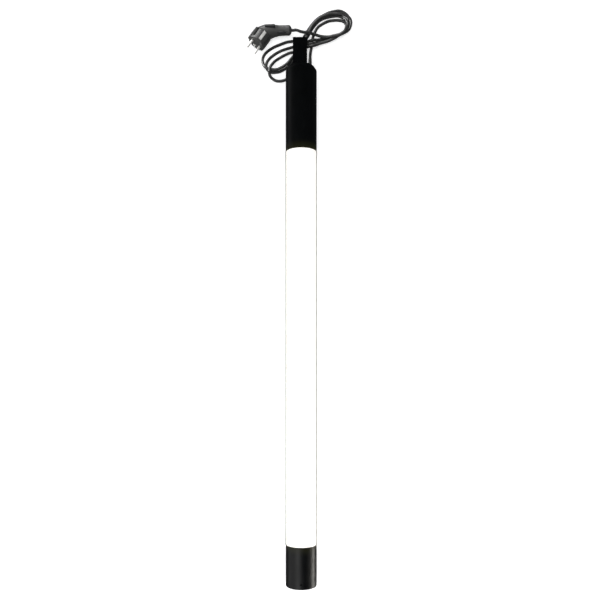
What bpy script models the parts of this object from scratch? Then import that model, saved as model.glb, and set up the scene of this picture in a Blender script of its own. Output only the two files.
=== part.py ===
"""LED light tube for studio work, lying on a flat surface.

The lamp's axis runs along Y, a guard tube's radius above the surface Z = 0. The hanger and the
mains lead are at the +Y end. The lead is folded into a figure-eight hank that lies on the surface
behind the hanger, and it ends in an angled plug. All sizes are in metres.
"""
from math import cos, pi, radians, sin

import bmesh
import bpy
from mathutils import Matrix, Vector

# ---------------------------------------------------------------- driving dimensions
FIT = 0.0003                    # gap between pieces that touch
GUARD_R, GUARD_WALL = 0.0330, 0.0013
DIFFUSER_R, DIFFUSER_WALL = 0.0314, 0.0015
CAP_R, CAP_WALL = 0.0320, 0.0025
LOWER_END, LOWER_EDGE = -0.5630, -0.4775      # lower cap, end face and edge beside the tube
UPPER_EDGE, FLAT_TOP = 0.3318, 0.5066         # upper cap, edge beside the tube and flat end
SHOULDER = 0.0080               # length of the upper cap's slanted shoulder
FLAT_TOP_R = 0.0262
END_WALL = 0.0030
ROUND_STEPS = 48
TWIST = 0.11                    # turns a rod's corners off the edges of what it cuts

HANGER_TOP, HANGER_X, HANGER_WIDTH = 0.5640, -0.0025, 0.0294
HANGER_DEPTH, STRAP = 0.0280, 0.0035
BOLT_X = (HANGER_X - 0.007, HANGER_X + 0.007)

CORD_R = 0.0030
EXIT_X = 0.0180                 # the lead leaves the flat end beside the hanger
GROMMET_TOP = 0.0015            # how far the grommet's collar stands out of the flat end

CARRIER, CARRIER_WALL = 0.0180, 0.0016
LED_COUNT = 20
BOARD_TOP = -0.0068             # driver board's upper face, below the axis
TRAY_TOP = -0.0120

RIGHT_HEIGHT, LEFT_HEIGHT = 0.0173, 0.0135     # of the hank's lobes, which cross in three layers
PLUG_BACK = (-0.0797, 0.5831, 0.0190)          # middle of the round head's back
PLUG_TILT, PLUG_TURN, PLUG_ROLL = radians(8), radians(-33.7), radians(22)
PLUG_R, PLUG_DEPTH = 0.0187, 0.0265
PIN_R, PIN_OUT, PIN_PITCH = 0.0024, 0.0190, 0.0190


# ---------------------------------------------------------------- helpers
def start():
    for item in list(bpy.data.objects):
        bpy.data.objects.remove(item, do_unlink=True)


def material(name, colour, roughness, metallic=0.0):
    made = bpy.data.materials.new(name)
    made.use_nodes = True
    shader = made.node_tree.nodes["Principled BSDF"]
    shader.inputs["Base Color"].default_value = (*colour, 1.0)
    shader.inputs["Roughness"].default_value = roughness
    shader.inputs["Metallic"].default_value = metallic
    return made


def holder(name, location=(0, 0, 0), turn=(0, 0, 0), parent=None):
    """An empty that carries the pieces of one group."""
    item = bpy.data.objects.new(name, None)
    bpy.context.collection.objects.link(item)
    item.location, item.rotation_euler, item.parent = location, turn, parent
    return item


def piece(name, bm, finish, parent, location=(0, 0, 0), smooth=True):
    """Turn a bmesh into an object whose faces point out."""
    bmesh.ops.recalc_face_normals(bm, faces=bm.faces)
    mesh = bpy.data.meshes.new(name)
    bm.to_mesh(mesh)
    bm.free()
    if smooth:
        mesh.shade_smooth()
        mesh.set_sharp_from_angle(angle=radians(35))
    if finish:
        mesh.materials.append(finish)
    item = bpy.data.objects.new(name, mesh)
    bpy.context.collection.objects.link(item)
    item.location, item.parent = location, parent
    return item


def turned_mesh(profile, steps, axis="Y", twist=0.0):
    """Turn a closed (along, radius) outline about an axis; a radius of 0 is one point."""
    bm = bmesh.new()
    rings = []
    for along, radius in profile:
        count = steps if radius > 0 else 1
        ring = []
        for step in range(count):
            angle = 2 * pi * step / steps + twist
            across, up = radius * cos(angle), radius * sin(angle)
            spot = {"X": (along, across, up), "Y": (across, along, up), "Z": (across, up, along)}[axis]
            ring.append(bm.verts.new(spot))
        rings.append(ring)
    for near, far in zip(rings, rings[1:] + rings[:1]):
        for step in range(steps):
            corners = [near[step % len(near)], near[(step + 1) % len(near)],
                       far[(step + 1) % len(far)], far[step % len(far)]]
            corners = list(dict.fromkeys(corners))
            if len(corners) > 2:
                bm.faces.new(corners)
    return bm


def turned(name, profile, finish, parent, steps=ROUND_STEPS, location=(0, 0, 0), axis="Y", twist=0.0):
    return piece(name, turned_mesh(profile, steps, axis, twist), finish, parent, location)


def rod(name, low, high, radius, finish, parent, steps=12, location=(0, 0, 0), axis="Y"):
    profile = [(low, 0), (low, radius), (high, radius), (high, 0)]
    return turned(name, profile, finish, parent, steps, location, axis, TWIST)


def block(name, low, high, finish, parent, edge=0.0):
    """A box between two corners, with its edges rounded if asked."""
    size = Vector(high) - Vector(low)
    bm = bmesh.new()
    bmesh.ops.create_cube(bm, size=1.0)
    bmesh.ops.scale(bm, vec=size, verts=bm.verts)
    item = piece(name, bm, finish, parent, (Vector(low) + Vector(high)) / 2, smooth=False)
    if edge:
        bevel = item.modifiers.new("rounded edges", "BEVEL")
        bevel.width, bevel.segments = edge, 2
    return item


def prism(name, outline, low, high, finish, parent, axis="X"):
    """Extrude a flat outline: (y, z) points along X, or (x, y) points along Z."""
    bm = bmesh.new()
    ends = []
    for place in (low, high):
        spots = [(place, a, b) if axis == "X" else (a, b, place) for a, b in outline]
        ends.append([bm.verts.new(spot) for spot in spots])
    bm.faces.new(ends[0])
    bm.faces.new(reversed(ends[1]))
    for index in range(len(outline)):
        after = (index + 1) % len(outline)
        bm.faces.new((ends[0][index], ends[0][after], ends[1][after], ends[1][index]))
    return piece(name, bm, finish, parent, smooth=False)


def combine(target, tool, operation="DIFFERENCE"):
    """Cut a tool out of a piece, or weld it on; the tool itself is only a guide."""
    tool.hide_render = True
    tool.display_type = "WIRE"
    boolean = target.modifiers.new(tool.name, "BOOLEAN")
    boolean.operation, boolean.object, boolean.solver = operation, tool, "EXACT"


def smooth_path(points, spacing):
    """Points at an even spacing on the centripetal Catmull-Rom curve through a route."""
    route = [Vector(point) for point in points]
    route = [2 * route[0] - route[1]] + route + [2 * route[-1] - route[-2]]
    fine = []
    for p0, p1, p2, p3 in zip(route, route[1:], route[2:], route[3:]):
        t1 = (p1 - p0).length ** 0.5
        t2 = t1 + (p2 - p1).length ** 0.5
        t3 = t2 + (p3 - p2).length ** 0.5
        for part in range(16):
            t = t1 + (t2 - t1) * part / 16
            a1 = p0.lerp(p1, t / t1)
            a2 = p1.lerp(p2, (t - t1) / (t2 - t1))
            a3 = p2.lerp(p3, (t - t2) / (t3 - t2))
            b1 = a1.lerp(a2, t / t2)
            b2 = a2.lerp(a3, (t - t1) / (t3 - t1))
            fine.append(b1.lerp(b2, (t - t1) / (t2 - t1)))
    fine.append(route[-2])
    even, left = [fine[0]], spacing
    for near, far in zip(fine, fine[1:]):
        left -= (far - near).length
        if left <= 0:
            even.append(far)
            left = spacing
    if (even[-1] - fine[-1]).length < spacing / 2 and len(even) > 2:
        even.pop()
    return even + [fine[-1]]


def flex(name, points, radius, finish, parent, spacing, resolution=2):
    """A wire or cord: a round tube along a smooth curve through its route's points."""
    curve = bpy.data.curves.new(name, "CURVE")
    curve.dimensions = "3D"
    curve.bevel_depth, curve.bevel_resolution = radius, resolution
    curve.use_fill_caps, curve.render_resolution_u = True, 0
    spots = smooth_path(points, spacing)
    line = curve.splines.new("POLY")
    line.points.add(len(spots) - 1)
    for spot, point in zip(spots, line.points):
        point.co = (*spot, 1.0)
    curve.materials.append(finish)
    item = bpy.data.objects.new(name, curve)
    bpy.context.collection.objects.link(item)
    item.parent = parent
    return item


# ---------------------------------------------------------------- tube and its inside
def build_tubes(lamp, clear, opal):
    for name, radius, wall, finish in (("guard_tube", GUARD_R, GUARD_WALL, clear),
                                       ("diffuser_tube", DIFFUSER_R, DIFFUSER_WALL, opal)):
        low, high = LOWER_EDGE + FIT, UPPER_EDGE - FIT
        profile = [(low, radius), (high, radius), (high, radius - wall), (low, radius - wall)]
        turned(name, profile, finish, lamp)


def build_tube_plug(name, edge, way, lamp, white, rubber):
    """Plug that joins a cap to the tube; way is +1 where the cap lies towards +Y."""
    inside, bore = 0.0296, 0.0260
    sleeve, sleeve_bore, sleeve_end, web = 0.0292, 0.0267, 0.022, 0.004
    groove, groove_r = (-0.0105, -0.0075), 0.0278
    shape = [(-0.015, inside), (groove[0], inside), (groove[0], groove_r), (groove[1], groove_r),
             (groove[1], inside), (-FIT, inside), (-FIT, sleeve), (sleeve_end, sleeve),
             (sleeve_end, sleeve_bore), (web, sleeve_bore), (web, 0), (0, 0), (0, bore), (-0.015, bore)]
    plug = turned(name + "_tube_plug", [(edge + way * along, r) for along, r in shape], white, lamp, 32)
    half = CARRIER / 2 - CARRIER_WALL - FIT
    ends = sorted((edge - way * 0.012, edge + way * 0.001))
    boss = block(name + "_boss", (-half, ends[0], -half), (half, ends[1], half), None, lamp)
    combine(plug, boss, "UNION")
    ring_r, ring_at = 0.0009, edge + way * sum(groove) / 2
    ring = [(ring_at + ring_r * cos(a), 0.0288 + ring_r * sin(a)) for a in (2 * pi * k / 6 for k in range(6))]
    turned(name + "_seal_ring", ring, rubber, lamp, 32)
    return plug


def build_light_engine(lamp, alloy, board_finish):
    half, low, high = CARRIER / 2, LOWER_EDGE + FIT, UPPER_EDGE - FIT
    carrier = block("led_carrier", (-half, low, -half), (half, high, half), alloy, lamp)
    bore = half - CARRIER_WALL
    combine(carrier, block("carrier_bore", (-bore, low - 0.01, -bore), (bore, high + 0.01, bore), None, lamp))
    board_half, thick, chip_half, chip_high = 0.006, 0.0012, 0.0018, 0.0007
    first, last = LOWER_EDGE + 0.004, UPPER_EDGE - 0.004
    for side in range(4):
        bm = bmesh.new()
        for index in range(LED_COUNT):
            middle = first + (index + 0.5) * (last - first) / LED_COUNT
            place = Matrix.Translation((0, middle, half + FIT + thick))
            size = Matrix.Diagonal((2 * chip_half, 2 * chip_half, 2 * chip_high, 1))
            bmesh.ops.create_cube(bm, size=1.0, matrix=place @ size)
        chips = piece(f"chips_{side + 1}", bm, None, lamp, smooth=False)
        base = half + FIT
        board = block(f"led_board_{side + 1}", (-board_half, first, base), (board_half, last, base + thick),
                      board_finish, lamp)
        combine(board, chips, "UNION")
        turn = Matrix.Rotation(side * pi / 2, 4, "Y")
        for item in (chips, board):
            item.matrix_basis = turn @ item.matrix_basis


# ---------------------------------------------------------------- caps
def build_upper_cap(lamp, moulding):
    bore = CAP_R - CAP_WALL
    inner = FLAT_TOP - END_WALL
    profile = [(UPPER_EDGE, CAP_R), (FLAT_TOP - SHOULDER, CAP_R), (FLAT_TOP, FLAT_TOP_R), (FLAT_TOP, 0),
               (inner, 0), (inner, 0.0238), (inner - 0.0065, bore), (UPPER_EDGE, bore)]
    cap = turned("upper_cap", profile, moulding, lamp)
    through = (inner - 0.004, FLAT_TOP + 0.004)
    combine(cap, rod("cord_hole", *through, 0.0040, None, lamp, 20, (EXIT_X, 0, 0)))
    for number, place in enumerate(BOLT_X, 1):
        combine(cap, rod(f"bolt_hole_{number}", *through, 0.0027, None, lamp, 12, (place, 0, 0)))
    return cap


def build_lower_cap(lamp, moulding, dark):
    bore, edge, lip = CAP_R - CAP_WALL, 0.0025, 0.0270
    corner = [(LOWER_END + edge * (1 - cos(a)), CAP_R - edge * (1 - sin(a)))
              for a in (pi / 2 * k / 4 for k in range(4, -1, -1))]
    profile = [(LOWER_EDGE, CAP_R)] + corner
    profile += [(LOWER_END, lip), (LOWER_END + 0.0025, lip), (LOWER_END + 0.0025, bore), (LOWER_EDGE, bore)]
    cap = turned("lower_cap", profile, moulding, lamp)
    face, rim, rim_bore, wall = LOWER_END + 0.0028, 0.0292, 0.0267, 0.0030
    disc = turned("end_disc", [(face, 0), (face, rim), (face + 0.0147, rim), (face + 0.0147, rim_bore),
                               (face + wall, rim_bore), (face + wall, 0)], dark, lamp)
    return cap, disc


def build_radial_screw(name, along, side, cap, inner, lamp, steel):
    """Countersunk screw that enters a cap from the side; side is +1 on top, -1 below."""
    top, head, shank = CAP_R - 0.0006, 0.0023, 0.0014
    profile = [(side * z, r) for z, r in ((0.0268, 0), (0.0268, shank), (top - 0.0016, shank),
                                          (top - 0.0010, head), (top, head), (top, 0))]
    turned(name, profile, steel, lamp, 16, (0, along, 0), "Z")
    seat = [(side * z, r) for z, r in ((0.0200, 0), (0.0200, shank + FIT), (top - 0.0021, shank + FIT),
                                       (top - 0.0012, head + FIT), (0.0350, head + FIT), (0.0350, 0))]
    combine(cap, turned(name + "_seat", seat, None, lamp, 16, (0, along, 0), "Z", TWIST))
    hole = sorted((side * 0.0200, side * 0.0350))
    combine(inner, rod(name + "_hole", *hole, shank + FIT, None, lamp, 16, (0, along, 0), "Z"))


# ---------------------------------------------------------------- hanger
def build_hanger(lamp, black_steel, steel):
    """Closed stirrup of flat strap, bolted to the cap's flat end from inside."""
    deep, bend, foot = HANGER_DEPTH / 2, 0.003, FLAT_TOP + FIT
    corner = [(HANGER_TOP - bend + bend * cos(a), deep - bend + bend * sin(a))
              for a in (pi / 2 * k / 3 for k in range(4))]
    outline = [(foot, -deep)] + [(y, -z) for y, z in reversed(corner)] + corner + [(foot, deep)]
    ends = (HANGER_X - HANGER_WIDTH / 2, HANGER_X + HANGER_WIDTH / 2)
    hanger = prism("hanger", outline, *ends, black_steel, lamp)
    gap = deep - STRAP
    eye = block("hanger_eye", (ends[0] - 0.005, foot + STRAP, -gap), (ends[1] + 0.005, HANGER_TOP - STRAP, gap),
                None, lamp)
    combine(hanger, eye)
    inner = FLAT_TOP - END_WALL - FIT
    for number, place in enumerate(BOLT_X, 1):
        combine(hanger, rod(f"hanger_hole_{number}", foot - 0.002, foot + STRAP + 0.002, 0.0027, None, lamp, 12,
                            (place, 0, 0)))
        profile = [(inner - 0.003, 0), (inner - 0.003, 0.004), (inner, 0.004), (inner, 0.0024),
                   (foot + STRAP, 0.0024), (foot + STRAP, 0)]
        turned(f"hanger_bolt_{number}", profile, steel, lamp, 12, (place, 0, 0))


# ---------------------------------------------------------------- mains inlet and driver
def build_inlet(lamp, rubber, dark, steel):
    wall_in, wall_out = FLAT_TOP - END_WALL - FIT, FLAT_TOP + FIT
    bore, neck, collar = 0.0033, 0.0037, 0.0045
    profile = [(wall_in - 0.0015, bore), (wall_in - 0.0015, collar), (wall_in, collar), (wall_in, neck),
               (wall_out, neck), (wall_out, collar), (wall_out + GROMMET_TOP, collar),
               (wall_out + GROMMET_TOP, bore)]
    turned("cord_grommet", profile, rubber, lamp, 20, (EXIT_X, 0, 0))
    rod("sheath_end", 0.4820, wall_out + GROMMET_TOP, CORD_R, rubber, lamp, 12, (EXIT_X, 0, 0))
    clamp = block("cable_clamp", (0.0090, 0.4840, TRAY_TOP + FIT), (0.0265, 0.4920, 0.0050), dark, lamp)
    combine(clamp, rod("clamp_bore", 0.4800, 0.4960, 0.0033, None, lamp, 16, (EXIT_X, 0, 0)))
    for number, place in enumerate((0.0118, 0.0242), 1):
        hole = rod(f"clamp_hole_{number}", TRAY_TOP - 0.004, 0.0080, 0.0016, None, lamp, 10,
                   (place, 0.4880, 0), "Z")
        combine(clamp, hole)
        combine(bpy.data.objects["driver_tray"], hole)
        profile = [(0.0075, 0), (0.0075, 0.0022), (0.0053, 0.0022), (0.0053, 0.0013),
                   (TRAY_TOP - 0.0015, 0.0013), (TRAY_TOP - 0.0015, 0)]
        turned(f"clamp_screw_{number}", profile, steel, lamp, 10, (place, 0.4880, 0), "Z")


def build_driver(lamp, plug, alloy, steel, finishes):
    board_finish, copper, dark, blue, white = finishes
    web = UPPER_EDGE + 0.004 + FIT
    thick, low = 0.0015, TRAY_TOP - 0.0015
    outline = [(web, low), (0.4930, low), (0.4930, TRAY_TOP), (web + thick, TRAY_TOP), (web + thick, -0.0050),
               (web, -0.0050)]
    tray = prism("driver_tray", outline, -0.0220, 0.0220, alloy, lamp)
    for number, place in enumerate((-0.0140, 0.0140), 1):
        hole = rod(f"tray_hole_{number}", web - 0.0100, web + 0.0080, 0.0016, None, lamp, 10,
                   (place, 0, -0.0085))
        combine(tray, hole)
        combine(plug, hole)
        profile = [(web - 0.0038, 0), (web - 0.0038, 0.0013), (web + thick + FIT, 0.0013),
                   (web + thick + FIT, 0.0024), (web + 0.0035, 0.0024), (web + 0.0035, 0)]
        turned(f"tray_screw_{number}", profile, steel, lamp, 10, (place, 0, -0.0085))
    base = BOARD_TOP - 0.0016
    block("driver_board", (-0.0200, 0.3640, base), (0.0200, 0.4580, BOARD_TOP), board_finish, lamp)
    for number, (x, y) in enumerate(((-0.017, 0.367), (0.017, 0.367), (-0.017, 0.4615), (0.017, 0.4615)), 1):
        high = base - FIT if y < 0.458 else BOARD_TOP
        rod(f"board_standoff_{number}", TRAY_TOP + FIT, high, 0.0025, white, lamp, 10, (x, y, 0), "Z")
    floor = BOARD_TOP + FIT
    core = block("transformer", (-0.0170, 0.4000, floor), (0.0030, 0.4200, floor + 0.0110), dark, lamp)
    winding = block("winding", (-0.0145, 0.4035, floor + 0.0060), (0.0005, 0.4165, floor + 0.0145), None, lamp)
    combine(core, winding, "UNION")
    rod("bulk_capacitor", floor, floor + 0.0150, 0.0070, blue, lamp, 20, (0.0115, 0.4120, 0), "Z")
    rod("output_capacitor", floor, floor + 0.0120, 0.0050, blue, lamp, 16, (0.0100, 0.3880, 0), "Z")
    block("filter_capacitor", (-0.0180, 0.4290, floor), (-0.0020, 0.4370, floor + 0.0120), dark, lamp, 0.0006)
    ring = [(-0.003, 0.0070), (0.003, 0.0070), (0.003, 0.0034), (-0.003, 0.0034)]
    turned("filter_choke", ring, copper, lamp, 20, (0.0100, 0.4320, floor + 0.0070))
    rod("fuse", 0.4400, 0.4570, 0.0026, white, lamp, 12, (0.0120, 0, floor + 0.0027))
    block("terminal_block", (-0.0170, 0.4460, floor), (0.0010, 0.4560, floor + 0.0090), white, lamp)
    return floor


def build_wires(lamp, floor, colours):
    """Cores from the sheath's end to the terminal block, and leads to the light engine."""
    spread = ((0.0013, -0.0008), (0.0, 0.0014), (-0.0013, -0.0008))
    for (name, finish), place, (dx, dz) in zip(colours[:3], (-0.0030, -0.0080, -0.0130), spread):
        route = [(EXIT_X + dx, 0.4817, dz), (EXIT_X + dx, 0.4780, dz),
                 (EXIT_X + 2 * dx - 0.003, 0.4730, dz), (place + 0.004, 0.4630, dz), (place, 0.4590, -0.0015),
                 (place, 0.4563, floor + 0.0045)]
        flex(name, route, 0.0009, finish, lamp, 0.003)
    for (name, finish), side in zip(colours[3:], (-1, 1)):
        route = [(side * 0.0040, 0.3690, floor + 0.0012), (side * 0.0040, 0.3620, floor + 0.0014),
                 (side * 0.0015, 0.3480, -0.0010), (side * 0.0013, 0.3380, 0), (side * 0.0013, 0.3120, 0)]
        flex(name, route, 0.0008, finish, lamp, 0.003)


# ---------------------------------------------------------------- plug
def elbow_mesh():
    """Grip that bends from the back of the plug's head to the lead, as a loft in world space.

    Each station is its middle (x, y), its heading in the plane, and half its width and height.
    """
    stations = [(-0.0850, 0.5752, 56, 0.0170, 0.0160), (-0.0800, 0.5826, 46, 0.0164, 0.0154),
                (-0.0700, 0.5870, 22, 0.0145, 0.0142), (-0.0580, 0.5886, 4, 0.0120, 0.0122),
                (-0.0460, 0.5894, 1, 0.0100, 0.0100), (-0.0230, 0.5903, 1, 0.0100, 0.0093),
                (-0.0196, 0.5902, 0, 0.0040, 0.0040)]
    bm = bmesh.new()
    rings = []
    for x, y, heading, wide, high in stations:
        aside = Vector((-sin(radians(heading)), cos(radians(heading)), 0))
        ring = []
        for step in range(20):
            angle = 2 * pi * step / 20
            across = abs(cos(angle)) ** 0.7 * (1 if cos(angle) > 0 else -1)
            up = abs(sin(angle)) ** 0.7 * (1 if sin(angle) > 0 else -1)
            ring.append(bm.verts.new(Vector((x, y, PLUG_BACK[2])) + aside * wide * across
                                     + Vector((0, 0, high * up))))
        rings.append(ring)
    for near, far in zip(rings, rings[1:]):
        for step in range(20):
            after = (step + 1) % 20
            bm.faces.new((near[step], near[after], far[after], far[step]))
    bm.faces.new(reversed(rings[0]))
    bm.faces.new(rings[-1])
    return bm


def build_plug(lead, rubber, nickel):
    """Angled mains plug: its pins point along the holder's -Y, its earth clips up and down."""
    back = holder("plug_place", PLUG_BACK, (-PLUG_TILT, 0, PLUG_TURN), lead)
    rolled = holder("plug_rolled", (0, -PLUG_DEPTH, 0), (0, PLUG_ROLL, 0), back)
    profile = [(0, 0), (0, PLUG_R - 0.0015), (0.0015, PLUG_R), (PLUG_DEPTH - 0.002, PLUG_R),
               (PLUG_DEPTH, PLUG_R - 0.002), (PLUG_DEPTH, 0)]
    body = turned("plug_body", profile, rubber, rolled, 40)
    elbow = piece("plug_elbow", elbow_mesh(), None, lead)
    combine(body, elbow, "UNION")
    for number, side in enumerate((-1, 1), 1):
        flank, groove = sorted((side * 0.0120, side * 0.0194)), sorted((side * 0.0132, side * 0.0152))
        combine(body, block(f"flank_{number}", (flank[0], 0.0004, -0.0095), (flank[1], 0.0222, 0.0095), None,
                            rolled), "UNION")
        combine(body, block(f"flank_groove_{number}", (groove[0], 0.0045, 0.0088), (groove[1], 0.0232, 0.0200),
                            None, rolled))
        place = (side * PIN_PITCH / 2, 0, 0)
        combine(body, rod(f"pin_hole_{number}", -0.010, 0.012, PIN_R + FIT, None, rolled, 14, place))
        tip = 0.0012
        pin = [(-PIN_OUT, 0), (-PIN_OUT, PIN_R - tip), (-PIN_OUT + tip, PIN_R), (0.0117, PIN_R), (0.0117, 0)]
        turned(f"plug_pin_{number}", pin, nickel, rolled, 14, place)
        clip_half, depth, ends = 0.0030, 0.0016, (0.0035, 0.0245)
        skin = sorted((side * (PLUG_R - 0.0030), side * (PLUG_R + 0.0030)))
        slot = block(f"clip_slot_{number}", (-clip_half - FIT, ends[0] - FIT, skin[0]),
                     (clip_half + FIT, ends[1] + FIT, skin[1]), None, rolled)
        combine(body, slot)
        deep = side * (PLUG_R - 0.0030 + FIT)
        levels = sorted((deep, deep + side * depth))
        block(f"earth_clip_{number}", (-clip_half, ends[0], levels[0]), (clip_half, ends[1], levels[1]),
              nickel, rolled)
    hole = rod("earth_hole", -0.010, 0.012, 0.0030, None, rolled, 14, (0, 0, -0.0100))
    combine(body, hole)


# ---------------------------------------------------------------- mains lead
LEAD_ROUTE = [(0.0180, 0.5089, 0.0330), (0.0180, 0.5150, 0.0330), (0.0182, 0.5220, 0.0308),
              (0.0186, 0.5310, 0.0240), (0.0192, 0.5420, 0.0140), (0.0200, 0.5520, 0.0080),
              (0.0205, 0.5600, 0.0062)]
LOW_LOOP = [(-0.0672, 0.5012, 0.0031), (-0.0643, 0.4977, 0.0031), (-0.0585, 0.4923, 0.0031),
            (-0.0506, 0.4894, 0.0031), (-0.0418, 0.4892, 0.0031), (-0.0330, 0.4917, 0.0031),
            (-0.0254, 0.4972, 0.0031), (-0.0200, 0.5050, 0.0031), (-0.0188, 0.5130, 0.0031),
            (-0.0182, 0.5190, 0.0031)]
TAIL_ROUTE = [(0.0060, 0.5944, 0.0190), (-0.0020, 0.5936, 0.0188), (-0.0110, 0.5912, 0.0185),
              (-0.0188, 0.5902, 0.0185)]
# Outer shapes of the hank's two lobes, seen from above; they meet under the hanger at WAIST_X.
WAIST_X = -0.0020
RIGHT_LOBE = [(WAIST_X + FIT, 0.5460), (0.0120, 0.5586), (0.0227, 0.5620), (0.0312, 0.5645),
              (0.0564, 0.5730), (0.0775, 0.5838), (0.0943, 0.5946), (0.1010, 0.6003), (0.1053, 0.6070),
              (0.1069, 0.6144), (0.1038, 0.6249), (0.0968, 0.6329), (0.0893, 0.6382), (0.0791, 0.6402),
              (0.0690, 0.6396), (0.0564, 0.6362), (0.0438, 0.6304), (0.0337, 0.6228), (0.0219, 0.6110),
              (0.0126, 0.5984), (0.0040, 0.5880), (WAIST_X + FIT, 0.5770)]
LEFT_LOBE = [(WAIST_X, 0.5770), (-0.0164, 0.5766), (-0.0299, 0.5740), (-0.0446, 0.5690), (-0.0585, 0.5615),
             (-0.0699, 0.5511), (-0.0790, 0.5434), (-0.0850, 0.5354), (-0.0825, 0.5243), (-0.0751, 0.5154),
             (-0.0699, 0.5080), (-0.0615, 0.5050), (-0.0488, 0.5040), (-0.0383, 0.5072), (-0.0309, 0.5125),
             (-0.0246, 0.5190), (-0.0173, 0.5255), (-0.0088, 0.5344), (WAIST_X, 0.5430)]


def build_lead(lead, sheath):
    flex("cord_lead", LEAD_ROUTE, CORD_R, sheath, lead, 0.008)
    flex("cord_low_loop", LOW_LOOP, CORD_R, sheath, lead, 0.010)
    flex("cord_tail", TAIL_ROUTE, CORD_R, sheath, lead, 0.006)
    prism("hank_right", RIGHT_LOBE, 0, RIGHT_HEIGHT, sheath, lead, "Z")
    prism("hank_left", LEFT_LOBE, 0, LEFT_HEIGHT, sheath, lead, "Z")


# ---------------------------------------------------------------- assembly
def main():
    start()
    black = (0.012, 0.013, 0.014)
    moulding = material("black moulding", black, 0.42)
    dark = material("dark plastic", (0.020, 0.020, 0.022), 0.55)
    clear = material("clear guard", (0.92, 0.94, 0.95), 0.05)
    opal = material("opal diffuser", (0.95, 0.95, 0.92), 0.40)
    white = material("white plastic", (0.80, 0.80, 0.78), 0.50)
    alloy = material("aluminium", (0.70, 0.71, 0.72), 0.35, 1.0)
    steel = material("zinc steel", (0.55, 0.55, 0.56), 0.35, 1.0)
    black_steel = material("black strap steel", (0.010, 0.010, 0.011), 0.45)
    nickel = material("nickel", (0.72, 0.71, 0.68), 0.25, 1.0)
    rubber = material("black rubber", (0.030, 0.030, 0.031), 0.60)
    sheath = material("cord sheath", (0.028, 0.028, 0.028), 0.45)
    board_finish = material("circuit board", (0.80, 0.82, 0.80), 0.40)
    green = material("driver board", (0.05, 0.22, 0.10), 0.40)
    copper = material("copper winding", (0.60, 0.27, 0.10), 0.35, 1.0)
    blue = material("capacitor sleeve", (0.03, 0.06, 0.20), 0.35)

    lamp = holder("lamp", (0, 0, GUARD_R))
    lead = holder("lead")
    build_tubes(lamp, clear, opal)
    upper_plug = build_tube_plug("upper", UPPER_EDGE, 1, lamp, white, rubber)
    lower_plug = build_tube_plug("lower", LOWER_EDGE, -1, lamp, white, rubber)
    lead_hole = rod("lead_hole", UPPER_EDGE - 0.020, UPPER_EDGE + 0.010, 0.0030, None, lamp, 14)
    combine(upper_plug, lead_hole)
    build_light_engine(lamp, alloy, board_finish)
    upper_cap = build_upper_cap(lamp, moulding)
    lower_cap, disc = build_lower_cap(lamp, moulding, dark)
    build_radial_screw("upper_cap_screw", UPPER_EDGE + 0.014, -1, upper_cap, upper_plug, lamp, steel)
    build_radial_screw("lower_cap_screw", LOWER_EDGE - 0.014, -1, lower_cap, lower_plug, lamp, steel)
    build_radial_screw("end_disc_screw", LOWER_END + 0.0108, 1, lower_cap, disc, lamp, steel)
    build_hanger(lamp, black_steel, steel)
    finishes = (green, copper, dark, blue, white)
    floor = build_driver(lamp, upper_plug, alloy, steel, finishes)
    build_inlet(lamp, rubber, dark, steel)
    colours = [("wire_live", material("brown core", (0.16, 0.07, 0.03), 0.5)),
               ("wire_neutral", material("blue core", (0.03, 0.08, 0.35), 0.5)),
               ("wire_earth", material("green core", (0.10, 0.35, 0.05), 0.5)),
               ("led_lead_positive", material("red core", (0.45, 0.03, 0.03), 0.5)),
               ("led_lead_negative", dark)]
    build_wires(lamp, floor, colours)
    build_plug(lead, rubber, nickel)
    build_lead(lead, sheath)


main()
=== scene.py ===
"""Looks of the LED light tube: lit tube, black caps, strap hanger, and its mains lead in a hank."""
from math import cos, pi, radians, sin

import bmesh
import bpy
import numpy as np
from mathutils import Matrix, Vector


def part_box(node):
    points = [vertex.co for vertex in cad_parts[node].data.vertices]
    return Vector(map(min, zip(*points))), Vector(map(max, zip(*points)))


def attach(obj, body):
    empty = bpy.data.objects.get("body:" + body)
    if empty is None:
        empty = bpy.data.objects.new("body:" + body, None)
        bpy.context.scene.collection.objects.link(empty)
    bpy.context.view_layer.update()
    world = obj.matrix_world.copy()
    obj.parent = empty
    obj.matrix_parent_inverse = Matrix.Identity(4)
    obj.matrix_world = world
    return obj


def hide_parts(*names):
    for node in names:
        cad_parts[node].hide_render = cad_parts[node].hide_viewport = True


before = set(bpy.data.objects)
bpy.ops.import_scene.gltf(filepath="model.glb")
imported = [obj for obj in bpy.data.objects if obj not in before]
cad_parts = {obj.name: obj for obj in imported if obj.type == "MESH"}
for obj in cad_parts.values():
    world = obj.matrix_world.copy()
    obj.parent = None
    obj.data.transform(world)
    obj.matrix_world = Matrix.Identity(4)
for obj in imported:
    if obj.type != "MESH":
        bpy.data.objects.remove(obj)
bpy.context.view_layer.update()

# ---------------------------------------------------------------- sizes, in metres
BODY = "root"
LAMP_LOW, LAMP_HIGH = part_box("guard_tube")
AXIS = (LAMP_LOW.z + LAMP_HIGH.z) / 2          # height of the lamp's axis
CAP_LOW, CAP_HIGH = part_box("upper_cap")
CAP_R = (CAP_HIGH.x - CAP_LOW.x) / 2
CAP_WALL, FLAT_WALL = 0.0025, 0.0030           # round the tube, and at the flat end
CAP_BORE = CAP_R - CAP_WALL
FLAT_TOP = CAP_HIGH.y
SHOULDER, FLAT_TOP_R = 0.0080, 0.0262
LEAD_HOLE_R, BOLT_HOLE_R = 0.0039, 0.0026
BOLTS = ("hanger_bolt_1", "hanger_bolt_2")
STRAP = 0.0035                                 # thickness of the hanger's strap
GAP = 0.0003                                   # kept between pieces that lie together
CORD_D, CORD_LENGTH = 0.0060, 1.76
PLUG_BACK = Vector((-0.0797, 0.5831, 0.0190))  # middle of the round head's back
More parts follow.
